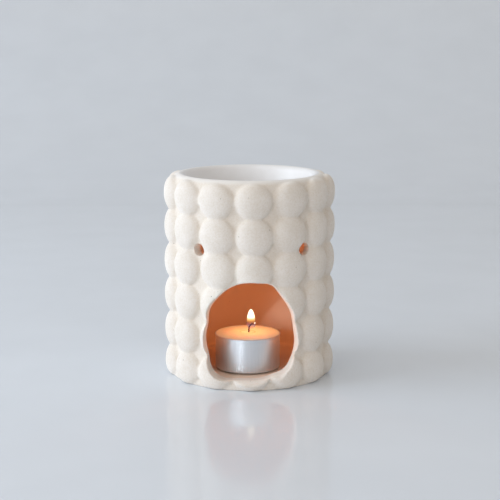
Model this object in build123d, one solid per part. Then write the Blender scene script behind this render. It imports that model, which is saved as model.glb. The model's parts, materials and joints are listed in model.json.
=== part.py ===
from build123d import *
import os
from math import cos, radians, sin

# Tealight warmer for scented wax, in millimetres. The warmer stands on z = 0 with its mouth towards -Y.

# Bubble wall
height = 120.0              # table to the crest of the lip
valley_radius = 45.0        # the plain wall that shows between four bubbles
bubble_rise = 5.8           # crest of a bubble above the plain wall
bubble_radius = 10.6        # of a bubble at its widest, about the upright line through its column
bubble_pinch = 4.0          # drawn in by this much where one bubble stands on the next
bubble_rows = 6
bubble_columns = 13
lowest_row_z = 8.3          # middle of the lowest row, which the base cuts off
top_row_drop = 10.2         # from the lip down to the middle of the top row
column_phase = 2.4          # degrees that the front column stands to the right of the centre line
foot_flare = 1.0            # the flat base reaches this far past the plain wall
profile_room = 1.0          # the rounded shoulder and foot start this far outside the crests

# Chamber inside the wall
rim_wall = 3.8              # plain wall round the bowl's collar
ledge_width = 1.5           # ledge that the collar sits on
chamber_round = 3.0         # where the wall meets the floor
floor_thickness = 6.0

# Tealight, standing on the floor behind the mouth
tealight_x = -1.2
tealight_setback = 4.25     # from the front of the chamber to the cup's rim
cup_radius = 19.0
cup_height = 21.0
cup_wall = 0.4
cup_round = 1.4             # between the cup's side and its bottom
rim_bead = 0.35             # radius of the rolled rim
wax_gap = 0.05              # between the wax and the metal and cotton in it
wax_below_rim = 0.15
pool_radius = 5.0           # round the wick
pool_depth = 0.35           # dip that the flame has melted
tab_radius = 6.5
tab_thickness = 0.3
neck_wall = 0.47
neck_height = 3.5
wick_radius = 0.6
wick_setback = 2.5          # behind the middle of the cup
wick_fit = 0.03             # round the wick inside its crimped neck
wick_straight = 1.9         # above the wax, before the wick curls over
wick_curl_radius = 2.6
wick_curl = 75.0            # degrees that it curls through
wick_tip = 1.2

# Mouth, cut freehand round a tealight on the centre line, as it is seen from the front
mouth_height = 56.5         # from the sill, which is level with the floor
mouth_left_room = 6.7       # from the side of the cup to the widest place on the left
mouth_right_room = 6.5
mouth_left_rise = 23.5      # from the sill up to the widest place on the left
mouth_right_rise = 16.6
sill_left_in = 4.6          # in from the widest place
sill_right_in = 9.5
top_left_in = 2.1
top_right_in = 14.9
right_shoulder_in = 2.4
right_shoulder_drop = 18.0  # from the top down to the bend on the right
mouth_arch_round = 17.5     # the wide bend on the left of the arch
mouth_corner_round = 5.0    # the tight one on its right
mouth_side_round = 15.0     # bends in the sides
sill_round = 8.0            # corners at the sill

# Vents, each near the corner between four bubbles
vent_radius = 3.6
vent_row = 4                # rows of bubbles below a vent
vent_turn = 41.2            # degrees from the front to either side

# Bowl, luted into a rebate in the top of the wall
lute_gap = 0.1              # film of slip round the collar
collar_height = 8.0
hang_gap = 0.8              # between the bowl's hanging wall and the chamber
lip_width = 3.1
lip_round = 2.0
well_taper = 5.0            # the well is this much narrower at its floor than at the lip
well_depth = 17.0
well_round = 9.0
bowl_thickness = 3.4

# Places worked out from the sizes above
up = (Align.CENTER, Align.CENTER, Align.MIN)
bubble_centre_radius = valley_radius + bubble_rise - bubble_radius
row_pitch = (height - top_row_drop - lowest_row_z) / (bubble_rows - 1)
column_pitch = 360.0 / bubble_columns
profile_radius = valley_radius + bubble_rise + profile_room
lip_radius = valley_radius - rim_wall
chamber_radius = lip_radius - ledge_width
collar_z = height - collar_height
collar_radius = lip_radius - lute_gap
cup_floor_z = floor_thickness + cup_wall
cup_bore = cup_radius - cup_wall
wax_top_z = floor_thickness + cup_height - wax_below_rim
neck_bore = wick_radius + wick_fit
neck_radius = neck_bore + neck_wall
tealight_y = cup_radius + rim_bead + tealight_setback - chamber_radius


def round_corner(face, x, z, radius):
    """Rounds the corner of a profile that lies at x and z."""
    corner = face.vertices().sort_by_distance((x, 0, z))[0]
    return fillet(corner, radius)


def upright_face(*points):
    """A closed outline of x and z points, as a face in the plane of the front."""
    outline = Polyline(*[(x, 0, z) for x, z in points], close=True)
    return make_face(outline)


def wall_profile():
    """The turned form that bounds the bubbles, with a small round at the foot and a large one at the lip."""
    foot_round = profile_radius - valley_radius - foot_flare
    shoulder_round = profile_radius - lip_radius
    section = upright_face((0, 0), (profile_radius, 0), (profile_radius, height), (0, height))
    section = round_corner(section, profile_radius, 0, foot_round)
    section = round_corner(section, profile_radius, height, shoulder_round)
    return revolve(section, Axis.Z)


def bubble_column():
    """A string of bubbles, turned about the upright line through their middles."""
    pinch_radius = bubble_radius - bubble_pinch
    low = lowest_row_z - row_pitch / 2
    outline = []
    for row in range(bubble_rows):
        foot = (pinch_radius, 0, low + row * row_pitch)
        middle = (bubble_radius, 0, low + (row + 0.5) * row_pitch)
        head = (pinch_radius, 0, low + (row + 1) * row_pitch)
        outline.append(ThreePointArc(foot, middle, head))
    high = low + bubble_rows * row_pitch
    outline.append(Polyline((pinch_radius, 0, high), (0, 0, high), (0, 0, low), (pinch_radius, 0, low)))
    return revolve(make_face(outline), Axis.Z)


def on_wall(turn, radius, z):
    """Moves a piece out along +X and up, then turns it to this many degrees from the front."""
    return Rot(0, 0, turn - 90) * Pos(radius, 0, z)


def mouth_cutter():
    """The freehand arch, pushed straight back through the front of the wall."""
    left = -cup_radius - mouth_left_room
    right = cup_radius + mouth_right_room
    sill_z = floor_thickness
    top_z = sill_z + mouth_height
    corners = [
        (left + sill_left_in, sill_z, sill_round),
        (right - sill_right_in, sill_z, sill_round),
        (right, sill_z + mouth_right_rise, mouth_side_round),
        (right - right_shoulder_in, top_z - right_shoulder_drop, mouth_side_round),
        (right - top_right_in, top_z, mouth_corner_round),
        (left + top_left_in, top_z, mouth_arch_round),
        (left, sill_z + mouth_left_rise, mouth_side_round),
    ]
    outline = upright_face(*[(x, z) for x, z, _ in corners])
    for x, z, radius in corners:
        outline = round_corner(outline, x, z, radius)
    return extrude(outline, profile_radius, dir=(0, -1, 0))


def ceramic_shell():
    """Drain-cast cup of bubbles with its floor, its mouth, its vents and the rebate for the bowl."""
    wall = Cylinder(valley_radius, height, align=up)
    string = bubble_column()
    strings = []
    for column in range(bubble_columns):
        strings.append(on_wall(column_phase + column * column_pitch, bubble_centre_radius, 0) * string)
    wall = (wall + strings) & wall_profile()

    chamber = Pos(0, 0, floor_thickness) * Cylinder(chamber_radius, height, align=up)
    chamber = fillet(chamber.edges().sort_by(Axis.Z)[0], chamber_round)
    rebate = Pos(0, 0, collar_z) * Cylinder(lip_radius, height, align=up)
    vents = []
    for turn in (-vent_turn, vent_turn):
        drill = Rot(0, 90, 0) * Cylinder(vent_radius, profile_radius, align=up)
        vents.append(on_wall(turn, 0, lowest_row_z + (vent_row - 0.5) * row_pitch) * drill)
    return wall - [mouth_cutter(), chamber, rebate] - vents


def wax_bowl():
    """Turned bowl with a tapered wall, a flat well and a collar that sits on the rebate's ledge."""
    mouth_radius = collar_radius - lip_width
    floor_radius = mouth_radius - well_taper
    floor_z = height - well_depth
    hanging_radius = chamber_radius - hang_gap
    under_radius = floor_radius + bowl_thickness / 2
    under_z = floor_z - bowl_thickness
    section = upright_face(
        (0, under_z), (under_radius, under_z), (hanging_radius, collar_z), (collar_radius, collar_z),
        (collar_radius, height), (mouth_radius, height), (floor_radius, floor_z), (0, floor_z),
    )
    section = round_corner(section, mouth_radius, height, lip_round)
    section = round_corner(section, floor_radius, floor_z, well_round)
    section = round_corner(section, under_radius, under_z, well_round)
    return revolve(section, Axis.Z)


def tealight_cup():
    """Pressed cup with a rounded bottom edge and a rolled rim."""
    rim_z = floor_thickness + cup_height
    outside = Pos(0, 0, floor_thickness) * Cylinder(cup_radius, cup_height, align=up)
    outside = fillet(outside.edges().sort_by(Axis.Z)[0], cup_round)
    inside = Pos(0, 0, cup_floor_z) * Cylinder(cup_bore, cup_height, align=up)
    inside = fillet(inside.edges().sort_by(Axis.Z)[0], cup_round - cup_wall)
    bead = Pos(0, 0, rim_z - rim_bead) * Torus(cup_radius, rim_bead)
    return outside + bead - inside


def tealight_wax():
    """Poured wax with a pool that the flame has melted, room under it for the tab and a bore for the wick."""
    foot_z = cup_floor_z + wax_gap
    slug = Pos(0, 0, foot_z) * Cylinder(cup_bore - wax_gap, wax_top_z - foot_z, align=up)
    slug = fillet(slug.edges().sort_by(Axis.Z)[0], cup_round - cup_wall)
    dip_radius = (pool_radius**2 + pool_depth**2) / (2 * pool_depth)
    pool = Pos(0, wick_setback, wax_top_z - pool_depth + dip_radius) * Sphere(dip_radius)
    tab_room = Cylinder(tab_radius + wax_gap, tab_thickness + wax_gap, align=up)
    neck_room = Cylinder(neck_radius + wax_gap, neck_height + wax_gap, align=up)
    bore = Cylinder(wick_radius + wax_gap, cup_height, align=up)
    return slug - pool - Pos(0, wick_setback, cup_floor_z) * (tab_room + neck_room + bore)


def wick_tab():
    """Stamped disc with a raised neck that is crimped round the wick."""
    disc = Cylinder(tab_radius, tab_thickness, align=up)
    neck = Cylinder(neck_radius, neck_height, align=up)
    bore = Cylinder(neck_bore, neck_height, align=up)
    return Pos(0, 0, cup_floor_z) * (disc + neck - bore)


def wick():
    """Cotton wick that stands in its neck on the cup's floor and curls over to the right above the wax."""
    bend_z = wax_top_z - pool_depth + wick_straight
    stem = Line((0, 0, cup_floor_z), (0, 0, bend_z))
    curl_plane = Plane(origin=(0, 0, bend_z), x_dir=(1, 0, 0), z_dir=(0, -1, 0))
    curl = curl_plane * JernArc((0, 0), (0, 1), wick_curl_radius, -wick_curl)
    lean = radians(wick_curl)
    end = curl @ 1
    tip = Line(end, end + Vector(sin(lean), 0, cos(lean)) * wick_tip)
    section = Pos(0, 0, cup_floor_z) * Circle(wick_radius)
    return sweep(section, stem + curl + tip)


def main():
    """Writes one file for each piece, with the tealight's pieces moved to where it stands."""
    tealight = Pos(tealight_x, tealight_y, 0)
    wick_place = tealight * Pos(0, wick_setback, 0)
    pieces = {
        "ceramic_shell": ceramic_shell(),
        "wax_bowl": wax_bowl(),
        "tealight_cup": tealight * tealight_cup(),
        "tealight_wax": tealight * tealight_wax(),
        "wick_tab": wick_place * wick_tab(),
        "wick": wick_place * wick(),
    }
    os.makedirs("parts", exist_ok=True)
    for name, piece in pieces.items():
        export_step(piece, f"parts/{name}.step")


main()
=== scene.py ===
import json
import math
import random
import bmesh
import bpy
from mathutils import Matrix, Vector, kdtree

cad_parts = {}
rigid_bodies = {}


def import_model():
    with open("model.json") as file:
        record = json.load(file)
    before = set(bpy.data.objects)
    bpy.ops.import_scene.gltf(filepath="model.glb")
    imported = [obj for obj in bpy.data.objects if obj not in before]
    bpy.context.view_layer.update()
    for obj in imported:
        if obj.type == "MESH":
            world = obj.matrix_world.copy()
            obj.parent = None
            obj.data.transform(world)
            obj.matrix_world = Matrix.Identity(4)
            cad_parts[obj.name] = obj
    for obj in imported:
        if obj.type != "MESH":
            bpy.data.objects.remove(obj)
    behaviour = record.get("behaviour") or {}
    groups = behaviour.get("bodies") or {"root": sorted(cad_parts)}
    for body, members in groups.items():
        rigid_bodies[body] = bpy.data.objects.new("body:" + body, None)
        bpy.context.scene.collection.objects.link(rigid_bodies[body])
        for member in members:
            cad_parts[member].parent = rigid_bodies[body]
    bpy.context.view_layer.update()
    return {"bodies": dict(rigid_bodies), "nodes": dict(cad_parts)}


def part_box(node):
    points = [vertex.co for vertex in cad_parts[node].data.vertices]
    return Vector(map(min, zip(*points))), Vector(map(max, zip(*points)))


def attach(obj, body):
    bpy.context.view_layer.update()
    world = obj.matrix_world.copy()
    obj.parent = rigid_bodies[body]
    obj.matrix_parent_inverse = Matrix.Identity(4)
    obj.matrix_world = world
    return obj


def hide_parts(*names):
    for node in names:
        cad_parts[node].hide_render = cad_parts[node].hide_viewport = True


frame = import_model()


# Ceramic shell: a drain-cast cup of cream stoneware whose outside is rows of soft bubbles.
# Its arched mouth and two vents were cut by hand in the damp clay and sponged round, and it was
# fired without a glaze, so it stays matte and faintly gritty. Everything else stands in it or on it.
MM = 0.001
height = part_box("ceramic_shell")[1].z
valley_radius = 45.0 * MM
crest_radius = 50.55 * MM
bubble_half_width = 10.7 * MM
bubble_half_height = 11.1 * MM
top_half_height = 9.7 * MM
foot_half_height = 8.8 * MM
bubble_fullness = 2.1
bubble_rows = 6
bubble_columns = 13
lowest_row_z = 8.3 * MM
top_row_drop = 10.2 * MM
column_phase = math.radians(2.4)
foot_radius = 46.4 * MM
foot_height = 4.0 * MM
shoulder_radius = 51.5 * MM
shoulder_round = 9.3 * MM
foot_round = 5.6 * MM
lip_radius = 41.2 * MM
chamber_radius = 39.7 * MM
floor_z = 6.0 * MM
vent_radius = 3.7 * MM
vent_z = 79.9 * MM
vent_places = (math.radians(-40.0), math.radians(42.4))
vent_bores = (math.radians(-40.0), math.radians(22.0))
hand_wobble = 0.25 * MM
clay_step = 0.6 * MM
same_place = 0.02 * MM


def rest():
    """Leaves edit mode and deselects everything, the CAD nodes too."""
    if bpy.context.object and bpy.context.object.mode != "OBJECT":
        bpy.ops.object.mode_set(mode="OBJECT")
    bpy.ops.object.select_all(action="DESELECT")


def settle(name):
    """Names the piece that was just added and puts its place into its mesh."""
    piece = bpy.context.object
    piece.name = piece.data.name = name
    bpy.ops.object.transform_apply(location=True, rotation=True, scale=True)
    return piece


def drum(name, radius, low, high, x=0.0, y=0.0, sides=128):
    """A closed upright cylinder between two heights."""
    rest()
    middle = (x, y, (low + high) / 2)
    bpy.ops.mesh.primitive_cylinder_add(vertices=sides, radius=radius, depth=high - low, location=middle)
    return settle(name)


def pick(piece, test, kind="edges"):
    """Enters edit mode with those edges or faces selected whose every corner passes the test."""
    bpy.context.view_layer.objects.active = piece
    bpy.ops.object.mode_set(mode="EDIT")
    bpy.ops.mesh.select_mode(type={"edges": "EDGE", "faces": "FACE"}[kind])
    bpy.ops.mesh.select_all(action="DESELECT")
    mesh = bmesh.from_edit_mesh(piece.data)
    for part in getattr(mesh, kind):
        if all(test(corner.co) for corner in part.verts):
            part.select_set(True)
    bmesh.update_edit_mesh(piece.data)


def at_height(z):
    """A test for what lies at one height."""
    return lambda point: abs(point.z - z) < same_place


def finish_with(piece, kind, **settings):
    """Adds a modifier with these settings to a piece and applies it."""
    rest()
    modifier = piece.modifiers.new(kind.lower(), kind)
    for setting, value in settings.items():
        setattr(modifier, setting, value)
    bpy.context.view_layer.objects.active = piece
    piece.select_set(True)
    bpy.ops.object.modifier_apply(modifier=modifier.name)


def carve(piece, tool, operation):
    """Cuts a piece with a tool, or keeps what they share, and throws the tool away."""
    finish_with(piece, "BOOLEAN", object=tool, operation=operation, solver="MANIFOLD")
    bpy.data.objects.remove(tool)


# The plain wall, rounded over at the lip and a little wider at the foot, and its bubbles, which run
# together in one skin. A bubble is a dome wrapped on the wall.
shell = drum("bubble_shell", valley_radius, 0.0, height)
pick(shell, at_height(height))
bpy.ops.mesh.bevel(offset=valley_radius - lip_radius, segments=10, affect="EDGES")
foot = drum("foot", foot_radius, 0.0, foot_height)
pick(foot, at_height(foot_height))
bpy.ops.mesh.bevel(offset=foot_radius - valley_radius, segments=6, affect="EDGES")
row_pitch = (height - top_row_drop - lowest_row_z) / (bubble_rows - 1)


def bubble_dome(turn, z, rise, upper, lower):
    """One bubble about a turn from the front and a height, with its own rise and half heights."""
    rest()
    bpy.ops.mesh.primitive_uv_sphere_add(segments=48, ring_count=32, radius=1.0)
    dome = settle("bubble")
    for vertex in dome.data.vertices:
        aside, back, up = vertex.co
        share = min(1.0, math.hypot(aside, up)) ** bubble_fullness
        out = (1.0 - share) ** (1.0 / bubble_fullness) * (rise if back < 0 else -0.5 * rise)
        place = turn + aside * bubble_half_width / valley_radius
        reach = valley_radius + out
        tall = upper if up > 0 else lower
        vertex.co = (math.sin(place) * reach, -math.cos(place) * reach, z + up * tall)
    return dome


# The potter set the bubbles by eye. In the columns that face the photograph, each stands this far aside and
# up, in millimetres from the foot to the lip; the columns on the right lean in at the foot.
set_by_eye = {
    11: [(0.5, 0.0), (-0.7, 0.0), (-0.2, 0.0), (-0.5, 0.0), (0.1, 0.2), (0.5, -0.4)],
    12: [(-1.0, 0.0), (0.0, 0.0), (0.5, 0.0), (1.0, 0.0), (0.3, -1.2), (0.0, -1.0)],
    0: [(-1.5, 0.0), (0.0, 0.0), (0.0, 0.0), (0.0, -0.4), (0.5, -1.4), (0.0, -1.0)],
    1: [(-2.8, 0.0), (-2.8, 1.2), (-0.7, 1.0), (-0.8, 0.3), (-0.7, 0.0), (0.0, -0.2)],
    2: [(-4.8, 0.0), (-5.0, 1.2), (-1.7, 1.8), (-1.9, 1.2), (-1.1, 0.8), (-1.0, 0.4)],
    3: [(-4.2, 0.0), (-4.2, 0.8), (-1.6, 1.0), (-1.6, 0.6), (-1.0, 0.4), (-0.6, 0.0)],
    4: [(-2.2, 0.0), (-2.2, 0.0), (-0.8, 0.0), (-0.8, 0.0), (-0.5, 0.0), (-0.3, 0.0)],
}
hand = random.Random(11)
bubbles = []
for column in range(bubble_columns):
    for row in range(bubble_rows):
        aside, up = set_by_eye.get(column, [(0.0, 0.0)] * bubble_rows)[row]
        aside = aside * MM + hand.uniform(-1, 1) * hand_wobble
        up = up * MM + hand.uniform(-1, 1) * hand_wobble
        rise = crest_radius - valley_radius + hand.uniform(-0.5, 0.5) * hand_wobble
        bubbles.append(bubble_dome(
            column_phase + column * math.tau / bubble_columns + aside / crest_radius,
            lowest_row_z + row * row_pitch + up, rise,
            top_half_height if row == bubble_rows - 1 else bubble_half_height,
            foot_half_height if row == 0 else bubble_half_height))
rest()
for part in [shell, foot, *bubbles]:
    part.select_set(True)
bpy.context.view_layer.objects.active = shell
bpy.ops.object.join()
finish_with(shell, "REMESH", mode="VOXEL", voxel_size=clay_step)

# The turned form that holds the bubbles in: a flat base, a small round at the foot, a wide one at the lip.
form_high = height - same_place
form = drum("turned_form", shoulder_radius, 0.0, form_high, sides=192)
pick(form, at_height(form_high))
bpy.ops.mesh.bevel(offset=shoulder_round, segments=20, affect="EDGES")
pick(form, at_height(0.0))
bpy.ops.mesh.bevel(offset=foot_round, segments=10, affect="EDGES")
carve(shell, form, "INTERSECT")

# The chamber, open at the top where the bowl goes in, with a round where its wall meets the floor.
chamber_round = 3.0 * MM
chamber = drum("chamber", chamber_radius, floor_z, height + chamber_round)
pick(chamber, at_height(floor_z))
bpy.ops.mesh.bevel(offset=chamber_round, segments=6, affect="EDGES")
carve(shell, chamber, "DIFFERENCE")

# The mouth: a freehand arch through these points, in x and z on an upright plane in the front wall. The
# knife was held aslant, so the cut widens towards the front by these shares for each millimetre.
mouth_points = [
    (13.4, 8.4), (16.3, 9.2), (19.1, 10.5), (21.4, 12.8), (23.0, 15.7), (24.4, 18.5), (26.0, 24.8),
    (25.5, 31.4), (24.6, 37.2), (23.5, 42.6), (21.1, 47.4), (18.0, 51.8), (14.8, 56.0), (12.5, 58.6),
    (9.4, 60.0), (4.0, 60.4), (-1.0, 60.6), (-5.4, 60.1), (-9.9, 58.5), (-14.0, 56.0), (-18.0, 52.4),
    (-21.4, 48.7), (-23.6, 44.2),
    (-24.4, 37.4), (-25.8, 31.3), (-25.7, 25.1), (-24.0, 18.5), (-23.0, 13.0), (-20.8, 9.0), (-15.5, 6.0),
    (-5.0, 6.0), (4.0, 6.1), (9.2, 7.0),
]
mouth_plane = -35.0 * MM
flare_aside = 0.0068 / MM
flare_up = 0.0036 / MM


def flared(x, y, z):
    """Where a point of the mouth's outline lies at another depth."""
    ahead = mouth_plane - y
    return Vector((x * (1.0 + flare_aside * ahead), y, floor_z + (z - floor_z) * (1.0 + flare_up * ahead)))


def unflared(point):
    """Where a point of the cut lies on the mouth's outline."""
    ahead = mouth_plane - point.y
    return Vector((
        point.x / (1.0 + flare_aside * ahead), 0.0,
        floor_z + (point.z - floor_z) / (1.0 + flare_up * ahead)))


rest()
bpy.ops.curve.primitive_bezier_circle_add()
line = bpy.context.object
line.data.resolution_u = 6
spline = line.data.splines[0]
spline.bezier_points.add(len(mouth_points) - len(spline.bezier_points))
for point, (x, z) in zip(spline.bezier_points, mouth_points):
    point.handle_left_type = point.handle_right_type = "AUTO"
    point.co = flared(x * MM, 0.0, z * MM)
bpy.ops.object.convert(target="MESH")
mouth = settle("mouth")
outline = kdtree.KDTree(len(mouth.data.vertices))
for vertex in mouth.data.vertices:
    outline.insert(unflared(vertex.co), vertex.index)
outline.balance()
pick(mouth, lambda point: True)
bpy.ops.mesh.edge_face_add()
depth = 2 * shoulder_radius
bpy.ops.mesh.extrude_region_move(TRANSFORM_OT_translate={"value": (0, -depth, 0)})
wide = (1.0 + flare_aside * (mouth_plane + depth)) / (1.0 + flare_aside * mouth_plane)
tall = (1.0 + flare_up * (mouth_plane + depth)) / (1.0 + flare_up * mouth_plane)
bpy.ops.transform.resize(value=(wide, 1.0, tall), center_override=(0, -depth, floor_z))
bpy.ops.mesh.select_all(action="SELECT")
bpy.ops.mesh.normals_make_consistent(inside=False)
carve(shell, mouth, "DIFFERENCE")

# Where the vents go, the clay was pressed flat: a shallow funnel through the flanks of the bubbles.
press_depth = 7.0 * MM
press_inner = vent_radius + 0.5 * MM
press_outer = vent_radius + 2.6 * MM
press_out = valley_radius + 0.1 * MM + press_depth / 2
for place in vent_places:
    rest()
    bpy.ops.mesh.primitive_cone_add(
        vertices=48, radius1=press_inner, radius2=press_outer, depth=press_depth,
        location=(math.sin(place) * press_out, -math.cos(place) * press_out, vent_z),
        rotation=(math.pi / 2, 0, place))
    carve(shell, settle("press"), "DIFFERENCE")

# Sponging: the whole skin is evened out, and the edge of the mouth is worn rounder than the rest, save at
# the sill, where the notches between the bubbles stay.
finish_with(shell, "REMESH", mode="VOXEL", voxel_size=clay_step)
finish_with(shell, "SMOOTH", factor=0.5, iterations=2)
edge_reach = 1.5 * MM
edge_rounds = 9
front_limit = -20.0 * MM
sill_high = 12.0 * MM
edge = shell.vertex_groups.new(name="mouth_edge")
for vertex in shell.data.vertices:
    if vertex.co.y < front_limit and vertex.co.z > sill_high:
        gap = outline.find(unflared(vertex.co))[2]
        if gap < 2 * edge_reach:
            edge.add([vertex.index], 1.0 - 0.5 * gap / edge_reach, "REPLACE")
finish_with(shell, "SMOOTH", factor=0.5, iterations=edge_rounds, vertex_group="mouth_edge")
# The pressed clay round the vents is evened out more.
press_reach = 6.0 * MM
press_rounds = 60
press = shell.vertex_groups.new(name="vent_press")
for vertex in shell.data.vertices:
    for place in vent_places:
        middle = Vector((math.sin(place) * valley_radius, -math.cos(place) * valley_radius, vent_z))
        beyond = (vertex.co - middle).length - vent_radius
        if beyond < press_reach:
            press.add([vertex.index], min(1.0, 1.0 - beyond / press_reach), "REPLACE")
finish_with(shell, "SMOOTH", factor=0.5, iterations=press_rounds, vertex_group="vent_press")
# So are the hollows where the top bubbles run into the lip.
lip_hollow_low = height - 9.0 * MM
lip_hollow_high = height - 1.0 * MM
lip_fade = 1.5 * MM
lip_rounds = 12
hollow = shell.vertex_groups.new(name="lip_hollow")
for vertex in shell.data.vertices:
    x, y, z = vertex.co
    within = min(z - lip_hollow_low, lip_hollow_high - z)
    if within > 0 and math.hypot(x, y) > lip_radius:
        hollow.add([vertex.index], min(1.0, within / lip_fade), "REPLACE")
finish_with(shell, "SMOOTH", factor=0.5, iterations=lip_rounds, vertex_group="lip_hollow")
# A thumb was run along the sill, which rounded its outer edge over, save at its left end.
thumb_inner = 46.0 * MM
thumb_press = 0.4
thumb_curve = 2.2
sill_left = -10.5 * MM
sill_right = 20.5 * MM
sill_fade = 3.5 * MM
for vertex in shell.data.vertices:
    x, y, z = vertex.co
    out = math.hypot(x, y) - thumb_inner
    if y < 0 and out > 0 and z < sill_high:
        share = min(1.0, max(0.0, min(x - sill_left, sill_right - x) / sill_fade))
        vertex.co.z = z * (1.0 - thumb_press * share * (out / (crest_radius - thumb_inner)) ** thumb_curve)
most_triangles = 185000
finish_with(shell, "DECIMATE", ratio=min(1.0, most_triangles / (2 * len(shell.data.polygons))))
# Two vents, bored by hand near the corners between four bubbles once the skin was dry, so that their edges
# stay sharp. The left one points at the centre line, the right one more towards the back.
bore_length = 0.6 * valley_radius
for place, bore in zip(vent_places, vent_bores):
    rest()
    bpy.ops.mesh.primitive_cylinder_add(
        vertices=48, radius=vent_radius, depth=bore_length,
        location=(math.sin(place) * valley_radius, -math.cos(place) * valley_radius, vent_z),
        rotation=(math.pi / 2, 0, bore))
    carve(shell, settle("vent"), "DIFFERENCE")

rest()
shell.select_set(True)
bpy.context.view_layer.objects.active = shell
clay_crease = math.radians(50)
bpy.ops.object.shade_smooth_by_angle(angle=clay_crease)


def linear(hexed):
    """An sRGB hex colour as linear red, green, blue and alpha."""
    shares = [int(hexed[place:place + 2], 16) / 255 for place in (1, 3, 5)]
    return [s / 12.92 if s <= 0.04045 else ((s + 0.055) / 1.055) ** 2.4 for s in shares] + [1.0]


def add(material, kind, links=None, **settings):
    """Adds a node: settings are its own properties, and links fills its sockets with values or outputs."""
    node = material.node_tree.nodes.new(kind)
    for setting, value in settings.items():
        setattr(node, setting, value)
    for socket, value in (links or {}).items():
        if isinstance(value, bpy.types.NodeSocket):
            material.node_tree.links.new(value, node.inputs[socket])
        else:
            node.inputs[socket].default_value = value
    return node


def new_material(name):
    """A material with no nodes yet but one for the piece's own coordinates in metres, which it gives back.
    """
    material = bpy.data.materials.new(name)
    material.use_nodes = True
    material.node_tree.nodes.clear()
    return material, add(material, "ShaderNodeTexCoord").outputs["Object"]


def ramp(material, factor, *stops):
    """A colour ramp between stops of a place and a hex colour."""
    node = add(material, "ShaderNodeValToRGB", {"Fac": factor})
    while len(node.color_ramp.elements) < len(stops):
        node.color_ramp.elements.new(0.5)
    for element, (place, colour) in zip(node.color_ramp.elements, stops):
        element.position = place
        element.color = linear(colour)
    return node.outputs["Color"]


def per(size_mm):
    """A texture scale for features of this size."""
    return 1.0 / (size_mm * MM)


def dress(piece, material, shader):
    """Ends a material in its shader and puts it on a piece."""
    add(material, "ShaderNodeOutputMaterial", {"Surface": shader.outputs[0]})
    piece.data.materials.clear()
    piece.data.materials.append(material)


# Unglazed cream stoneware: matte and warm white, clouded a little, sandy to look at, with sparse dark
# specks of iron, painted shade in a warmer, darker tone deep between the bubbles, a painted warm tan
# inside the chamber that stands for the candle's glow, painted browner shade on its floor and sill,
# and a haze of white glaze that ran over the lip.
bisque, spot = new_material("unglazed_stoneware")
clouds = add(bisque, "ShaderNodeTexNoise", {"Vector": spot, "Scale": per(9.0), "Detail": 3.0})
clay = ramp(bisque, clouds.outputs["Fac"], (0.3, "#ECE6DF"), (0.7, "#F2EDE8"))
sand = add(bisque, "ShaderNodeTexNoise", {
    "Vector": spot, "Scale": per(1.0), "Detail": 3.0, "Roughness": 0.7})
grains = ramp(bisque, sand.outputs["Fac"], (0.3, "#F6F3EE"), (0.6, "#FFFFFF"))
sandy = add(bisque, "ShaderNodeMix", {
    "Factor": 1.0, "A": clay, "B": grains}, data_type="RGBA", blend_type="MULTIPLY")
flat = add(bisque, "ShaderNodeVectorMath", {0: spot, 1: (1.0, 1.0, 0.0)}, operation="MULTIPLY")
radius = add(bisque, "ShaderNodeVectorMath", {0: flat.outputs[0]}, operation="LENGTH")
# Painted shade: a warmer, darker tone in the creases between the bubbles, at its most on everything nearer
# the middle, such as the mouth's cut walls.
crease_shade = add(bisque, "ShaderNodeMapRange", {
    "Value": radius.outputs["Value"], "From Min": 45.0 * MM, "From Max": 48.5 * MM,
    "To Min": 0.15, "To Max": 0.0})
crease_shaded = add(bisque, "ShaderNodeMix", {
    "Factor": crease_shade.outputs[0], "A": sandy.outputs["Result"], "B": linear("#E2D4BF")}, data_type="RGBA")
# Painted light: a warm tan on the chamber's inside that stands for the glow of the candle; the clay there
# is the same cream.
inside = add(bisque, "ShaderNodeMapRange", {
    "Value": radius.outputs["Value"], "From Min": 39.9 * MM, "From Max": 41.0 * MM,
    "To Min": 1.0, "To Max": 0.0})
painted_candle_glow = add(bisque, "ShaderNodeMix", {
    "Factor": inside.outputs[0], "A": crease_shaded.outputs["Result"], "B": linear("#E6CDB6")}, data_type="RGBA")
part = add(bisque, "ShaderNodeSeparateXYZ", {"Vector": spot})
# Painted shade: a browner tone low on the chamber's floor and the sill, where the cup and walls keep most
# light off.
low = add(bisque, "ShaderNodeMapRange", {
    "Value": part.outputs["Z"], "From Min": floor_z + 0.6 * MM, "From Max": floor_z + 1.8 * MM,
    "To Min": 0.4, "To Max": 0.0})
near = add(bisque, "ShaderNodeMapRange", {
    "Value": radius.outputs["Value"], "From Min": 44.4 * MM, "From Max": 45.6 * MM,
    "To Min": 1.0, "To Max": 0.0})
floor_shade = add(bisque, "ShaderNodeMath", {0: low.outputs[0], 1: near.outputs[0]}, operation="MULTIPLY")
floor_shaded = add(bisque, "ShaderNodeMix", {
    "Factor": floor_shade.outputs[0], "A": painted_candle_glow.outputs["Result"], "B": linear("#CDBAB1")}, data_type="RGBA")
iron = add(bisque, "ShaderNodeTexVoronoi", {"Vector": spot, "Scale": per(5.5)})
speck = add(bisque, "ShaderNodeMapRange", {
    "Value": iron.outputs["Distance"], "From Min": 0.03, "From Max": 0.065, "To Min": 1.0, "To Max": 0.0})
chance = add(bisque, "ShaderNodeSeparateXYZ", {"Vector": iron.outputs["Color"]})
likely = add(bisque, "ShaderNodeMapRange", {
    "Value": chance.outputs["X"], "From Min": 0.45, "From Max": 1.0})
strong = add(bisque, "ShaderNodeMath", {0: likely.outputs[0], 1: speck.outputs[0]}, operation="MULTIPLY")
lip = add(bisque, "ShaderNodeMapRange", {
    "Value": part.outputs["Z"], "From Min": height - 2.4 * MM, "From Max": height - 0.4 * MM})
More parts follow.
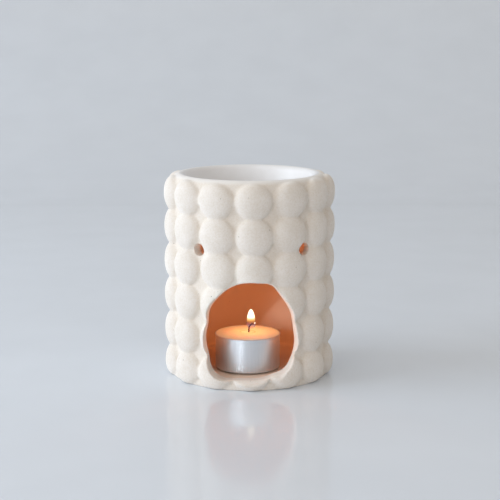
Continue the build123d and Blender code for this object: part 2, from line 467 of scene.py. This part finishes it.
rimmed = add(bisque, "ShaderNodeMix", {
    "Factor": lip.outputs[0], "A": floor_shaded.outputs["Result"], "B": linear("#F0EEEC")}, data_type="RGBA")
body = add(bisque, "ShaderNodeMix", {
    "Factor": strong.outputs[0], "A": rimmed.outputs["Result"], "B": linear("#75685A")}, data_type="RGBA")
bump = add(bisque, "ShaderNodeBump", {"Height": sand.outputs["Fac"], "Strength": 0.3, "Distance": 0.3 * MM})
dress(shell, bisque, add(bisque, "ShaderNodeBsdfPrincipled", {
    "Base Color": body.outputs["Result"], "Roughness": 0.82, "Diffuse Roughness": 0.5,
    "Specular IOR Level": 0.25, "Normal": bump.outputs[0]}))
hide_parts("ceramic_shell")
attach(shell, "warmer")


# Wax bowl: cast by itself, glazed white inside and over its lip, and luted into the top of the shell.
# Its collar sits on a ledge inside the wall and its well hangs into the chamber above the flame.
bowl_low, bowl_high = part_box("wax_bowl")
collar_radius = bowl_high.x
collar_z = height - 8.0 * MM
hanging_radius = 38.9 * MM
under_radius = 34.7 * MM
lip_width = 3.1 * MM
well_radius = 33.0 * MM
well_depth = 17.0 * MM
lip_round = 2.4 * MM
well_round = 6.7 * MM
crease = math.radians(40)


def at_ring(radius, z, x=0.0, y=0.0):
    """A test for what lies on one upright ring."""
    return lambda point: (
        abs(point.z - z) < same_place
        and abs(math.hypot(point.x - x, point.y - y) - radius) < same_place)


def push(z, share=1.0):
    """Extrudes the selected faces up or down and draws them in or out about the centre line."""
    bpy.ops.mesh.extrude_region_move(TRANSFORM_OT_translate={"value": (0, 0, z)})
    bpy.ops.transform.resize(value=(share, share, 1.0), center_override=(0, 0, 0))


bowl = drum("glazed_bowl", collar_radius, collar_z, height)
pick(bowl, at_height(height), "faces")
bpy.ops.mesh.inset(thickness=lip_width)
push(-well_depth, well_radius / (collar_radius - lip_width))
pick(bowl, at_height(collar_z), "faces")
bpy.ops.mesh.inset(thickness=collar_radius - hanging_radius)
push(bowl_low.z - collar_z, under_radius / hanging_radius)
pick(bowl, at_ring(collar_radius - lip_width, height))
bpy.ops.mesh.bevel(offset=lip_round, segments=8, affect="EDGES")
pick(bowl, at_ring(well_radius, height - well_depth))
bpy.ops.mesh.bevel(offset=well_round, segments=12, affect="EDGES")
pick(bowl, at_ring(under_radius, bowl_low.z))
bpy.ops.mesh.bevel(offset=well_round, segments=12, affect="EDGES")
rest()
bowl.select_set(True)
bpy.context.view_layer.objects.active = bowl
bpy.ops.object.shade_smooth_by_angle(angle=crease)

# White tin glaze: smooth, cool white and glossy, with the faint waves of a poured glaze. The underside is
# browned by the flame.
glaze, spot = new_material("white_tin_glaze")
tone = add(glaze, "ShaderNodeTexNoise", {"Vector": spot, "Scale": per(14.0), "Detail": 2.0})
waves = add(glaze, "ShaderNodeTexNoise", {"Vector": spot, "Scale": per(6.0), "Detail": 1.0})
bump = add(glaze, "ShaderNodeBump", {"Height": waves.outputs["Fac"], "Strength": 0.1, "Distance": 0.3 * MM})
part = add(glaze, "ShaderNodeSeparateXYZ", {"Vector": spot})
smoked = add(glaze, "ShaderNodeMapRange", {
    "Value": part.outputs["Z"], "From Min": bowl_low.z + 1.0 * MM, "From Max": bowl_low.z + 3.0 * MM,
    "To Min": 1.0, "To Max": 0.0})
white = ramp(glaze, tone.outputs["Fac"], (0.3, "#E9E9EA"), (0.7, "#EEEEF0"))
coated = add(glaze, "ShaderNodeMix", {
    "Factor": smoked.outputs[0], "A": white, "B": linear("#9A6B4C")}, data_type="RGBA")
dress(bowl, glaze, add(glaze, "ShaderNodeBsdfPrincipled", {
    "Base Color": coated.outputs["Result"], "Roughness": 0.35, "Specular IOR Level": 0.4,
    "Normal": bump.outputs[0]}))
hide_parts("wax_bowl")
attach(bowl, "warmer")


# Tealight cup: thin aluminium sheet pressed to a cup, with a round bottom edge, a foot that is set in a
# little and a rolled rim. It stands loose on the warmer's floor, a little forward of the middle.
cup_low, cup_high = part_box("tealight_cup")
cup_x = (cup_low.x + cup_high.x) / 2
cup_y = (cup_low.y + cup_high.y) / 2
rim_bead = 0.35 * MM
groove_bead = 0.12 * MM
groove_drop = 2.2 * MM
cup_radius = (cup_high.x - cup_low.x) / 2 - rim_bead
cup_wall = 0.4 * MM
cup_round = 1.0 * MM
foot_inset = 6.0 * MM
foot_gap = 0.8 * MM
cup = drum("aluminium_cup", cup_radius, cup_low.z + foot_gap, cup_high.z - rim_bead, cup_x, cup_y)
pick(cup, at_height(cup_high.z - rim_bead), "faces")
bpy.ops.mesh.inset(thickness=cup_wall)
push(cup_low.z + foot_gap + cup_wall - cup_high.z + rim_bead)
bpy.ops.mesh.inset(thickness=foot_inset)
push(-foot_gap)
pick(cup, at_height(cup_low.z + foot_gap), "faces")
bpy.ops.mesh.inset(thickness=foot_inset)
push(-foot_gap)
pick(cup, at_ring(cup_radius, cup_low.z + foot_gap, cup_x, cup_y))
bpy.ops.mesh.bevel(offset=cup_round, segments=8, affect="EDGES")
rest()
bpy.ops.mesh.primitive_torus_add(
    major_segments=128, minor_segments=14, major_radius=cup_radius, minor_radius=rim_bead,
    location=(cup_x, cup_y, cup_high.z - rim_bead))
bead = settle("bead")
rest()
bpy.ops.mesh.primitive_torus_add(
    major_segments=128, minor_segments=10, major_radius=cup_radius, minor_radius=groove_bead,
    location=(cup_x, cup_y, cup_high.z - groove_drop))
groove = settle("groove")
rest()
bead.select_set(True)
groove.select_set(True)
cup.select_set(True)
bpy.context.view_layer.objects.active = cup
bpy.ops.object.join()
bpy.ops.object.shade_smooth_by_angle(angle=crease)

# Drawn aluminium sheet: bright satin metal with faint upright draw lines and a slightly uneven wall, under
# a thin clear lacquer that gives it a sharper shine.
sheet, spot = new_material("drawn_aluminium_sheet")
upright = add(sheet, "ShaderNodeMapping", {"Vector": spot, "Scale": (1.0, 1.0, 0.04)})
lines = add(sheet, "ShaderNodeTexNoise", {"Vector": upright.outputs[0], "Scale": per(0.8), "Detail": 3.0})
dents = add(sheet, "ShaderNodeTexNoise", {"Vector": spot, "Scale": per(7.0), "Detail": 1.0})
wall = add(sheet, "ShaderNodeBump", {
    "Height": dents.outputs["Fac"], "Strength": 0.04, "Distance": 0.3 * MM})
drawn = add(sheet, "ShaderNodeBump", {
    "Height": lines.outputs["Fac"], "Strength": 0.008, "Distance": 0.05 * MM, "Normal": wall.outputs[0]})
polish = add(sheet, "ShaderNodeMapRange", {"Value": lines.outputs["Fac"], "To Min": 0.42, "To Max": 0.48})
dress(cup, sheet, add(sheet, "ShaderNodeBsdfPrincipled", {
    "Base Color": ramp(sheet, lines.outputs["Fac"], (0.3, "#DEE5ED"), (0.7, "#E4EBF3")),
    "Metallic": 1.0, "Roughness": polish.outputs[0], "Normal": drawn.outputs[0],
    "Coat Weight": 0.1, "Coat Roughness": 0.14}))
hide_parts("tealight_cup")
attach(cup, "tealight")


# Wick tab: a stamped tinplate disc with a neck crimped round the wick, under the wax on the cup's floor.
# Its CAD solid already has the real form, so it only gets its metal.
tinplate, spot = new_material("stamped_tinplate")
roll = add(tinplate, "ShaderNodeTexNoise", {"Vector": spot, "Scale": per(0.6), "Detail": 3.0})
shine = add(tinplate, "ShaderNodeMapRange", {"Value": roll.outputs["Fac"], "To Min": 0.3, "To Max": 0.5})
dress(frame["nodes"]["wick_tab"], tinplate, add(tinplate, "ShaderNodeBsdfPrincipled", {
    "Base Color": ramp(tinplate, roll.outputs["Fac"], (0.3, "#A9A8A4"), (0.7, "#BFBEBA")),
    "Metallic": 1.0, "Roughness": shine.outputs[0]}))


# Tealight wax: paraffin poured into the cup, melted to a shallow pool round the wick and drawn up a
# little where it clings to the metal.
wax_low, wax_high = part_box("tealight_wax")
wax_radius = (wax_high.x - wax_low.x) / 2
wick_low, wick_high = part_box("wick")
wick_radius = (wick_high.y - wick_low.y) / 2
wick_x = wick_low.x + wick_radius
wick_y = (wick_low.y + wick_high.y) / 2
pool_radius = 5.0 * MM
pool_depth = 0.35 * MM
cling = 0.12 * MM
wax_round = 1.4 * MM
wax_rings = 24
wax = drum("paraffin_wax", wax_radius, wax_low.z + foot_gap, wax_high.z, cup_x, cup_y)
pick(wax, at_height(wax_low.z + foot_gap), "faces")
bpy.ops.mesh.inset(thickness=foot_inset)
push(-foot_gap)
pick(wax, at_ring(wax_radius, wax_low.z + foot_gap, cup_x, cup_y))
bpy.ops.mesh.bevel(offset=wax_round, segments=4, affect="EDGES")
pick(wax, at_height(wax_high.z), "faces")
for ring in range(wax_rings):
    bpy.ops.mesh.inset(thickness=wax_radius / (wax_rings + 1))
bpy.ops.object.mode_set(mode="OBJECT")
for vertex in wax.data.vertices:
    if vertex.co.z > wax_high.z - same_place:
        out = math.hypot(vertex.co.x - cup_x, vertex.co.y - cup_y)
        pool = max(0.0, 1.0 - math.hypot(vertex.co.x - wick_x, vertex.co.y - wick_y) / pool_radius)
        vertex.co.z += cling * (out / wax_radius) ** 8 - pool_depth * math.sin(pool * math.pi / 2)
rest()
wax.select_set(True)
bpy.context.view_layer.objects.active = wax
bpy.ops.object.shade_smooth_by_angle(angle=crease)

# Paraffin wax: milky white that light soaks into, with a faint darker line where the melted pool ends, and
# painted shade, darker and cooler towards the rim, away from the flame.
paraffin, spot = new_material("paraffin_wax")
milk = add(paraffin, "ShaderNodeTexNoise", {"Vector": spot, "Scale": per(5.0), "Detail": 3.0})
skin = add(paraffin, "ShaderNodeBump", {
    "Height": milk.outputs["Fac"], "Strength": 0.08, "Distance": 0.2 * MM})
from_wick = add(paraffin, "ShaderNodeVectorMath", {
    0: spot, 1: (wick_x, wick_y, wax_high.z)}, operation="DISTANCE")
# Painted shade: past 8 mm from the wick the wax turns darker and cooler towards the rim, where the flame's
# light falls off.
from_wick_share = add(paraffin, "ShaderNodeMath", {
    0: from_wick.outputs["Value"], 1: 1.0 / (20.0 * MM)}, operation="MULTIPLY")
pool_line_and_shade = add(paraffin, "ShaderNodeMix", {
    "Factor": 1.0, "A": ramp(paraffin, milk.outputs["Fac"], (0.3, "#E5E8E3"), (0.7, "#EBEFEA")),
    "B": ramp(paraffin, from_wick_share.outputs[0], (0.185, "#FFFFFF"), (0.22, "#EAE0D0"), (0.25, "#FFFFFF"),
              (0.4, "#FFFFFF"), (0.85, "#F2F9FC"))},
    data_type="RGBA", blend_type="MULTIPLY")
dress(wax, paraffin, add(paraffin, "ShaderNodeBsdfPrincipled", {
    "Base Color": pool_line_and_shade.outputs["Result"],
    "Roughness": 0.35, "IOR": 1.44, "Subsurface Weight": 0.5, "Subsurface Radius": (1.0, 0.6, 0.35),
    "Subsurface Scale": 3.0 * MM, "Normal": skin.outputs[0]}))
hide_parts("tealight_wax")
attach(wax, "tealight")


# Wick: three cotton strands twisted together, standing in the tab's neck. It leaves the wax upright,
# curls over to the right, is charred black there and glows at its very tip.
strand_count = 3
strand_radius = 0.46 * wick_radius
strand_out = 0.4 * wick_radius
twist_length = 4.5 * MM
bend_z = wax_high.z - pool_depth + 2.3 * MM
curl_radius = 3.0 * MM
curl = math.radians(75.0)
tip_length = 1.6 * MM
lean = 0.035
stem_length = bend_z - wick_low.z
wick_length = stem_length + curl * curl_radius + tip_length


def along_wick(way):
    """The middle of the wick after a way from its foot, and its direction as an angle from upright."""
    if way <= stem_length:
        return Vector((wick_x + lean * way, wick_y, wick_low.z + way)), 0.0
    turn = min((way - stem_length) / curl_radius, curl)
    over = max(0.0, way - stem_length - curl * curl_radius)
    reach = curl_radius * (1.0 - math.cos(turn)) + over * math.sin(turn)
    rise = curl_radius * math.sin(turn) + over * math.cos(turn)
    return Vector((wick_x + lean * stem_length + reach, wick_y, bend_z + rise)), turn


tip = along_wick(wick_length)[0]
strands = []
wick_steps = 60
for strand in range(strand_count):
    rest()
    bpy.ops.curve.primitive_nurbs_path_add()
    cord = bpy.context.object
    cord.data.bevel_depth = strand_radius
    cord.data.bevel_resolution = 3
    cord.data.use_fill_caps = True
    spline = cord.data.splines[0]
    spline.points.add(wick_steps + 1 - len(spline.points))
    spline.order_u = 4
    spline.use_endpoint_u = True
    for step, point in enumerate(spline.points):
        way = wick_length * step / wick_steps
        middle, tilt = along_wick(way)
        turn = math.tau * (strand / strand_count + way / twist_length)
        across = Vector((math.cos(tilt), 0, -math.sin(tilt)))
        side = across * math.cos(turn) + Vector((0, 1, 0)) * math.sin(turn)
        point.co = (*(middle + side * strand_out), 1.0)
    bpy.ops.object.convert(target="MESH")
    strands.append(settle("strand"))
rest()
for strand in strands:
    strand.select_set(True)
bpy.context.view_layer.objects.active = strands[0]
bpy.ops.object.join()
wick = settle("cotton_wick")
bpy.ops.object.shade_smooth()

# Charred cotton: dull brown black above the wax, pale below it, and an ember that glows at the tip.
cotton, spot = new_material("charred_cotton")
part = add(cotton, "ShaderNodeSeparateXYZ", {"Vector": spot})
char = add(cotton, "ShaderNodeMapRange", {
    "Value": part.outputs["Z"], "From Min": wax_high.z - 1.2 * MM, "From Max": wax_high.z + 1.0 * MM})
ember = add(cotton, "ShaderNodeMapRange", {
    "Value": part.outputs["X"], "From Min": tip.x - 1.3 * MM, "From Max": tip.x - 0.5 * MM})
fuzz = add(cotton, "ShaderNodeTexNoise", {"Vector": spot, "Scale": per(0.25), "Detail": 3.0})
fibre = add(cotton, "ShaderNodeBump", {
    "Height": fuzz.outputs["Fac"], "Strength": 0.5, "Distance": 0.1 * MM})
dress(wick, cotton, add(cotton, "ShaderNodeBsdfPrincipled", {
    "Base Color": ramp(cotton, char.outputs[0], (0.0, "#D8CBB4"), (0.6, "#3A2A20"), (1.0, "#1E1814")),
    "Roughness": 0.95, "Normal": fibre.outputs[0],
    "Emission Color": ramp(cotton, ember.outputs[0], (0.2, "#000000"), (0.6, "#C8602E"), (1.0, "#FFE0C0")),
    "Emission Strength": 2.0}))
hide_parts("wick")
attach(wick, "tealight")


# Flame: burning wax vapour round the tip of the wick. A slim drop that is white hot at its heart, in a
# thin yellow coat, and clear with a faint violet at its foot. It rides with the tealight.
flame_x = wick_x + 2.0 * MM
flame_low = wax_high.z + 1.4 * MM
flame_high = wax_high.z + 13.9 * MM
flame_radius = 2.65 * MM
widest = 0.4


def flame_width(share):
    """The flame's width at a share of its height, as a share of its greatest: blunt at the foot."""
    if share < widest:
        return (1.0 - (1.0 - share / widest) ** 3) ** 0.5
    return (1.0 - ((share - widest) / (1.0 - widest)) ** 2) ** 0.6


def flame_shell(name, coat):
    """One closed skin of the flame, this much larger or smaller than the flame itself."""
    rest()
    bpy.ops.mesh.primitive_uv_sphere_add(segments=48, ring_count=40, radius=1.0)
    skin = settle(name)
    for vertex in skin.data.vertices:
        share = (vertex.co.z + 1.0) / 2.0
        ring = math.hypot(vertex.co.x, vertex.co.y)
        width = (flame_radius + coat) * flame_width(share) / ring if ring > 1e-4 else 0.0
        low = flame_low - coat
        tall = flame_high - flame_low + 2 * coat
        vertex.co = Vector((
            flame_x + vertex.co.x * width, wick_y + vertex.co.y * width, low + share * tall))
    bpy.ops.object.shade_smooth()
    skin.visible_shadow = False
    skin.visible_diffuse = False
    return skin


def burn(piece, name, strength, fade, colours):
    """A glowing gas that is seen through where it is thin: fade gives how dense it is up the flame."""
    gas, spot = new_material(name)
    part = add(gas, "ShaderNodeSeparateXYZ", {"Vector": spot})
    rise = add(gas, "ShaderNodeMapRange", {
        "Value": part.outputs["Z"], "From Min": flame_low, "From Max": flame_high})
    dress(piece, gas, add(gas, "ShaderNodeBsdfPrincipled", {
        "Base Color": (0.0, 0.0, 0.0, 1.0), "Specular IOR Level": 0.0, "Roughness": 1.0,
        "Alpha": ramp(gas, rise.outputs[0], *fade), "Emission Strength": strength,
        "Emission Color": ramp(gas, rise.outputs[0], *colours)}))
    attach(piece, "tealight")


core = flame_shell("flame_core", -0.35 * MM)
burn(core, "white_hot_gas", 2.6,
     [(0.24, "#000000"), (0.36, "#707070"), (0.5, "#FFFFFF")],
     [(0.24, "#7A4430"), (0.36, "#9A5A2C"), (0.44, "#AE7034"), (0.5, "#B48E58"), (0.56, "#BCAE90"),
      (0.62, "#FFF3DA")])
coat = flame_shell("flame_coat", 0.0)
burn(coat, "yellow_gas", 1.0,
     [(0.05, "#000000"), (0.14, "#707070"), (0.3, "#808080"), (0.5, "#808080")],
     [(0.1, "#9A86B8"), (0.26, "#A47490"), (0.36, "#B8735A"), (0.5, "#FFC067"), (1.0, "#FFC067")])


# The flame's own light, which gives the chamber its orange glow. It moves with the tealight.
glow = bpy.data.objects.new("flame_light", bpy.data.lights.new("flame_light", "POINT"))
bpy.context.collection.objects.link(glow)
glow.location = (flame_x, wick_y, wax_high.z + 14 * MM)
glow.visible_glossy = False
glow.data.energy = 0.0225
glow.data.color = (1.0, 0.345, 0.095)
glow.data.shadow_soft_size = 5.0 * MM
glow.parent = frame["bodies"]["tealight"]


# Table and backdrop: one pale, faintly glossy sheet that sweeps up behind the warmer.
# It is only the stage and no part of the object.
sweep_half = 2.2
sweep_back = 1.6
sweep_up = 2.0
rest()
bpy.ops.mesh.primitive_plane_add(size=2 * sweep_half, location=(0, sweep_back - sweep_half, 0))
table = settle("table")
pick(table, lambda point: point.y > sweep_back - 0.01)
bpy.ops.mesh.extrude_region_move(TRANSFORM_OT_translate={"value": (0, 0, sweep_up)})
pick(table, lambda point: point.y > sweep_back - 0.01 and point.z < 0.01)
bpy.ops.mesh.bevel(offset=0.9, segments=24, affect="EDGES")
rest()
table.select_set(True)
bpy.context.view_layer.objects.active = table
bpy.ops.object.shade_smooth()
paper, spot = new_material("pale_table")
tone = add(paper, "ShaderNodeTexNoise", {"Vector": spot, "Scale": per(60.0), "Detail": 2.0})
dress(table, paper, add(paper, "ShaderNodeBsdfPrincipled", {
    "Base Color": ramp(paper, tone.outputs["Fac"], (0.3, "#E0E7F0"), (0.7, "#E3EAF3")),
    "Roughness": 0.12, "Specular IOR Level": 0.35}))


# Soft studio light: a large cool window on the left, a small lamp in front, a narrow beam of daylight that
# falls through the mouth on the chamber's right wall, and a pale, warmer room that is darker on the right.
def softbox(name, azimuth, elevation, distance, size, power, colour):
    """A square soft light that faces the middle of the warmer from an angle, with azimuth 0 in front."""
    lamp = bpy.data.objects.new(name, bpy.data.lights.new(name, "AREA"))
    bpy.context.collection.objects.link(lamp)
    turn = math.radians(azimuth)
    lift = math.radians(elevation)
    back = Vector((math.sin(turn) * math.cos(lift), -math.cos(turn) * math.cos(lift), math.sin(lift)))
    lamp.location = Vector((0, 0, height / 2)) + back * distance
    lamp.rotation_euler = (-back).to_track_quat("-Z", "Y").to_euler()
    lamp.data.size = size
    lamp.data.energy = power
    lamp.data.color = colour


softbox("window", -80.0, 14.0, 1.3, 1.0, 13.3, (0.76, 0.875, 1.0))
softbox("front", -27.0, 7.0, 1.5, 0.25, 2.6, (0.96, 0.98, 1.0))
beam = bpy.data.objects.new("daylight", bpy.data.lights.new("daylight", "SPOT"))
bpy.context.collection.objects.link(beam)
beam_aim = Vector((-7.7, -42.0, 48.1)) * MM
beam_back = Vector((-0.36, -0.891, 0.276)).normalized()
beam.location = beam_aim + beam_back * 1.2
beam.rotation_euler = (-beam_back).to_track_quat("-Z", "Y").to_euler()
beam.data.spot_size = math.radians(1.6)
beam.data.spot_blend = 1.0
beam.data.shadow_soft_size = 19.0 * MM
beam.data.energy = 17.0
beam.data.color = (0.76, 0.94, 1.0)
world = bpy.data.worlds.new("room")
bpy.context.scene.world = world
world.use_nodes = True
world.node_tree.nodes.clear()
way = add(world, "ShaderNodeTexCoord").outputs["Generated"]
part = add(world, "ShaderNodeSeparateXYZ", {"Vector": way})
side = add(world, "ShaderNodeMapRange", {
    "Value": part.outputs["X"], "From Min": -1.0, "From Max": 1.0, "To Min": 0.82, "To Max": 0.47})
room = add(world, "ShaderNodeBackground", {"Color": (1.0, 0.94, 0.87, 1.0), "Strength": side.outputs[0]})
add(world, "ShaderNodeOutputWorld", {"Surface": room.outputs[0]})


# Camera: a longer lens at the photograph's height and tilt, a touch to the left of the mouth.
camera = bpy.data.objects.new("camera", bpy.data.cameras.new("camera"))
bpy.context.collection.objects.link(camera)
camera_distance = 0.7688
camera_height = 0.2115
camera_tilt = 0.1777
camera_turn = math.radians(-1.0)
focal_pixels = 1312.6
frame_pixels = 500.0
camera_aside = 0.45 * MM
camera.location = (
    camera_distance * math.sin(camera_turn) + camera_aside,
    -camera_distance * math.cos(camera_turn), camera_height)
camera.rotation_euler = (math.pi / 2 - camera_tilt, 0.0, camera_turn)
camera.data.sensor_width = 36.0
camera.data.lens = camera.data.sensor_width * focal_pixels / frame_pixels
bpy.context.scene.camera = camera
bpy.context.scene.view_settings.view_transform = "Standard"
